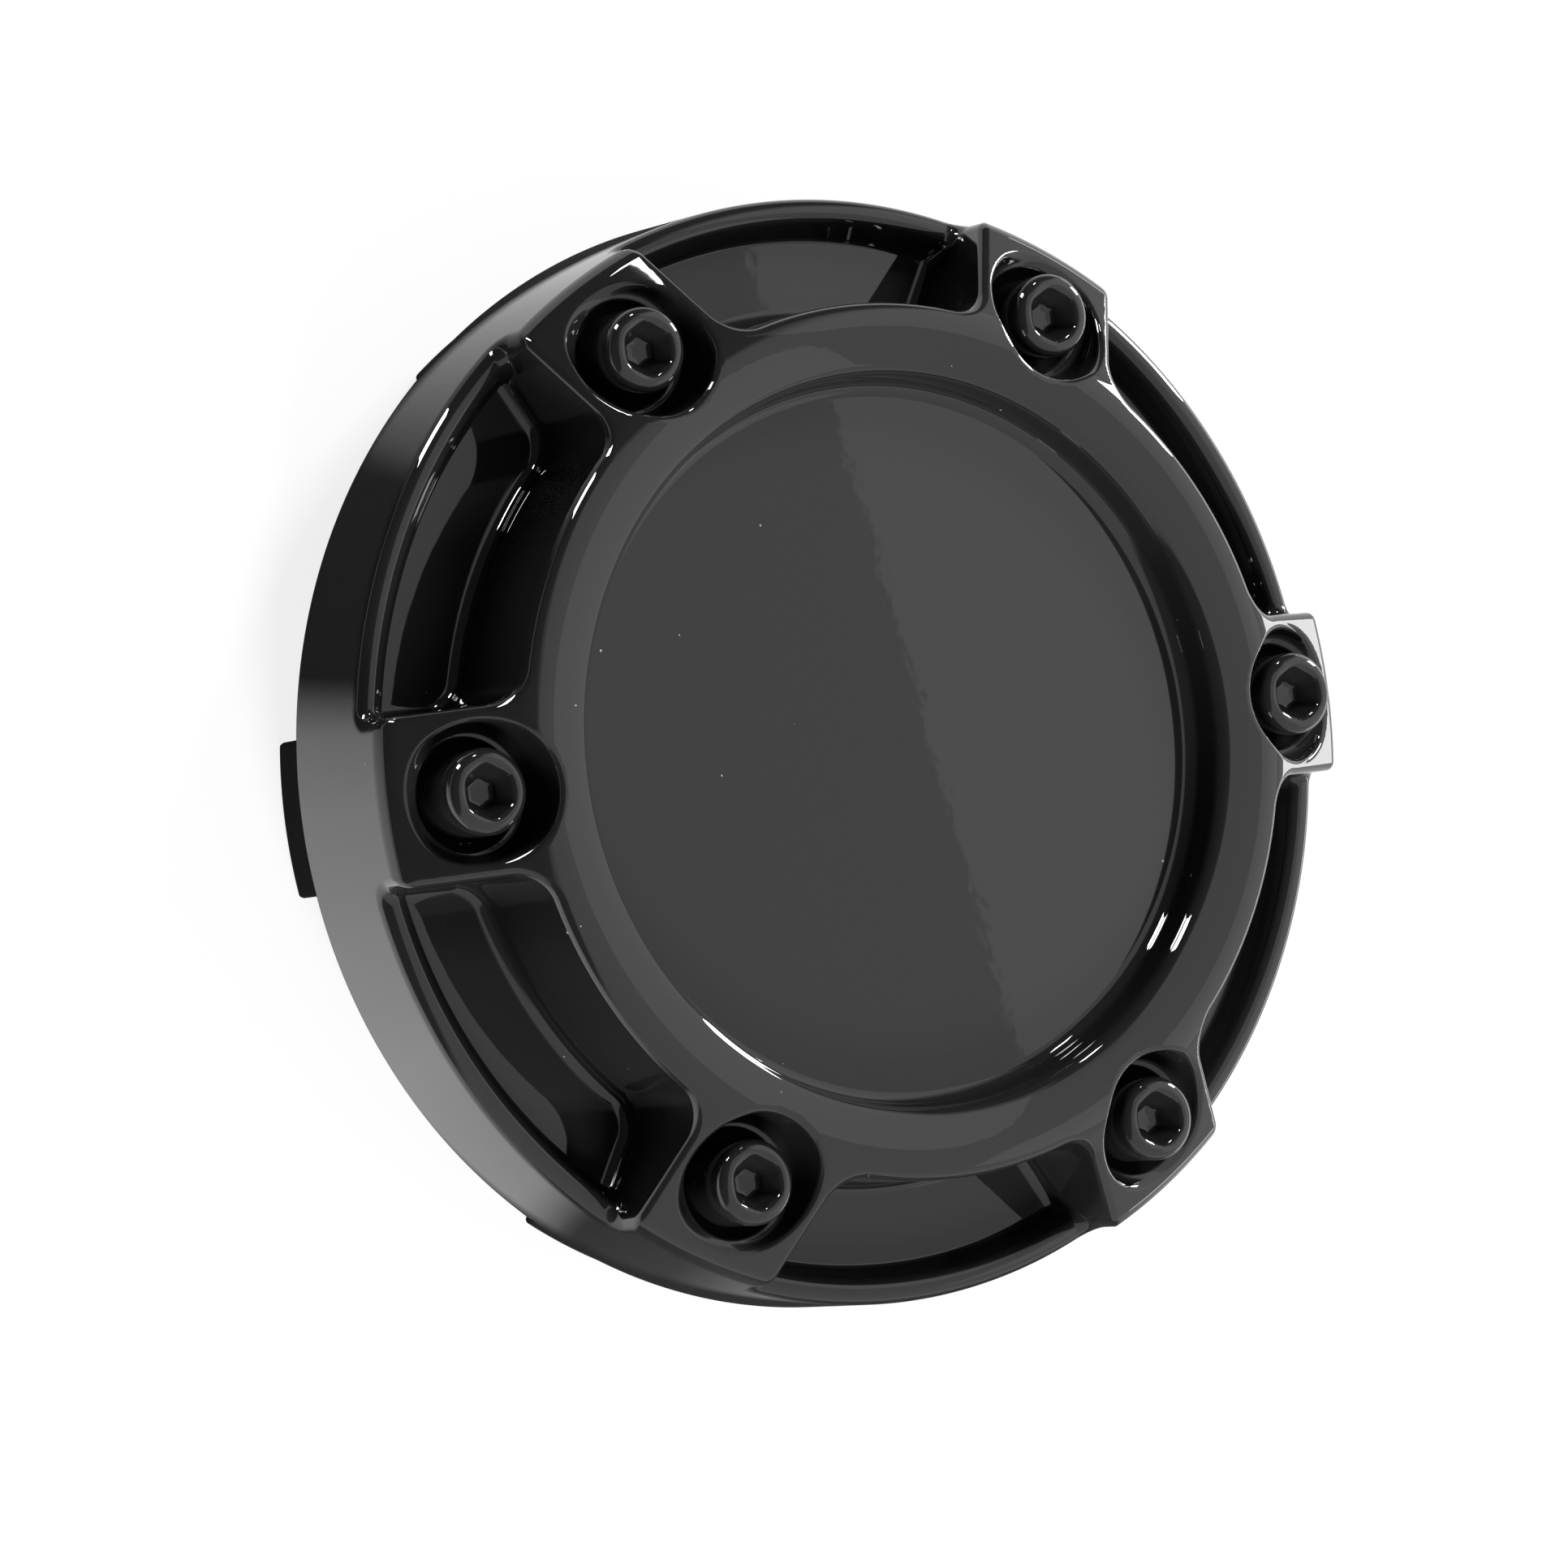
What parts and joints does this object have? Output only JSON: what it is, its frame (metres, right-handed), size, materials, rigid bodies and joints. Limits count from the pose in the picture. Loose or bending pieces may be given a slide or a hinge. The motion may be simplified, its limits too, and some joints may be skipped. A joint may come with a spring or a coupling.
{
  "type": "wheel centre cap",
  "caption": "Round gloss black wheel centre cap: raised ring round a bare emblem seat, sloped lugs with dummy bolts in stepped bores, shallow pockets, clip legs behind.",
  "frame": {"origin": "on the cap's axis, in the plane that the clip tips stand on", "axes": "+Z along the cap's axis, out of its face; +X through the middle of a lug"},
  "size_m": [0.1388, 0.1388, 0.0405],
  "materials": {
    "gloss_black_paint": "gloss"
  },
  "bodies": {
    "root": {"cap": "gloss_black_paint"}
  },
  "joints": []
}
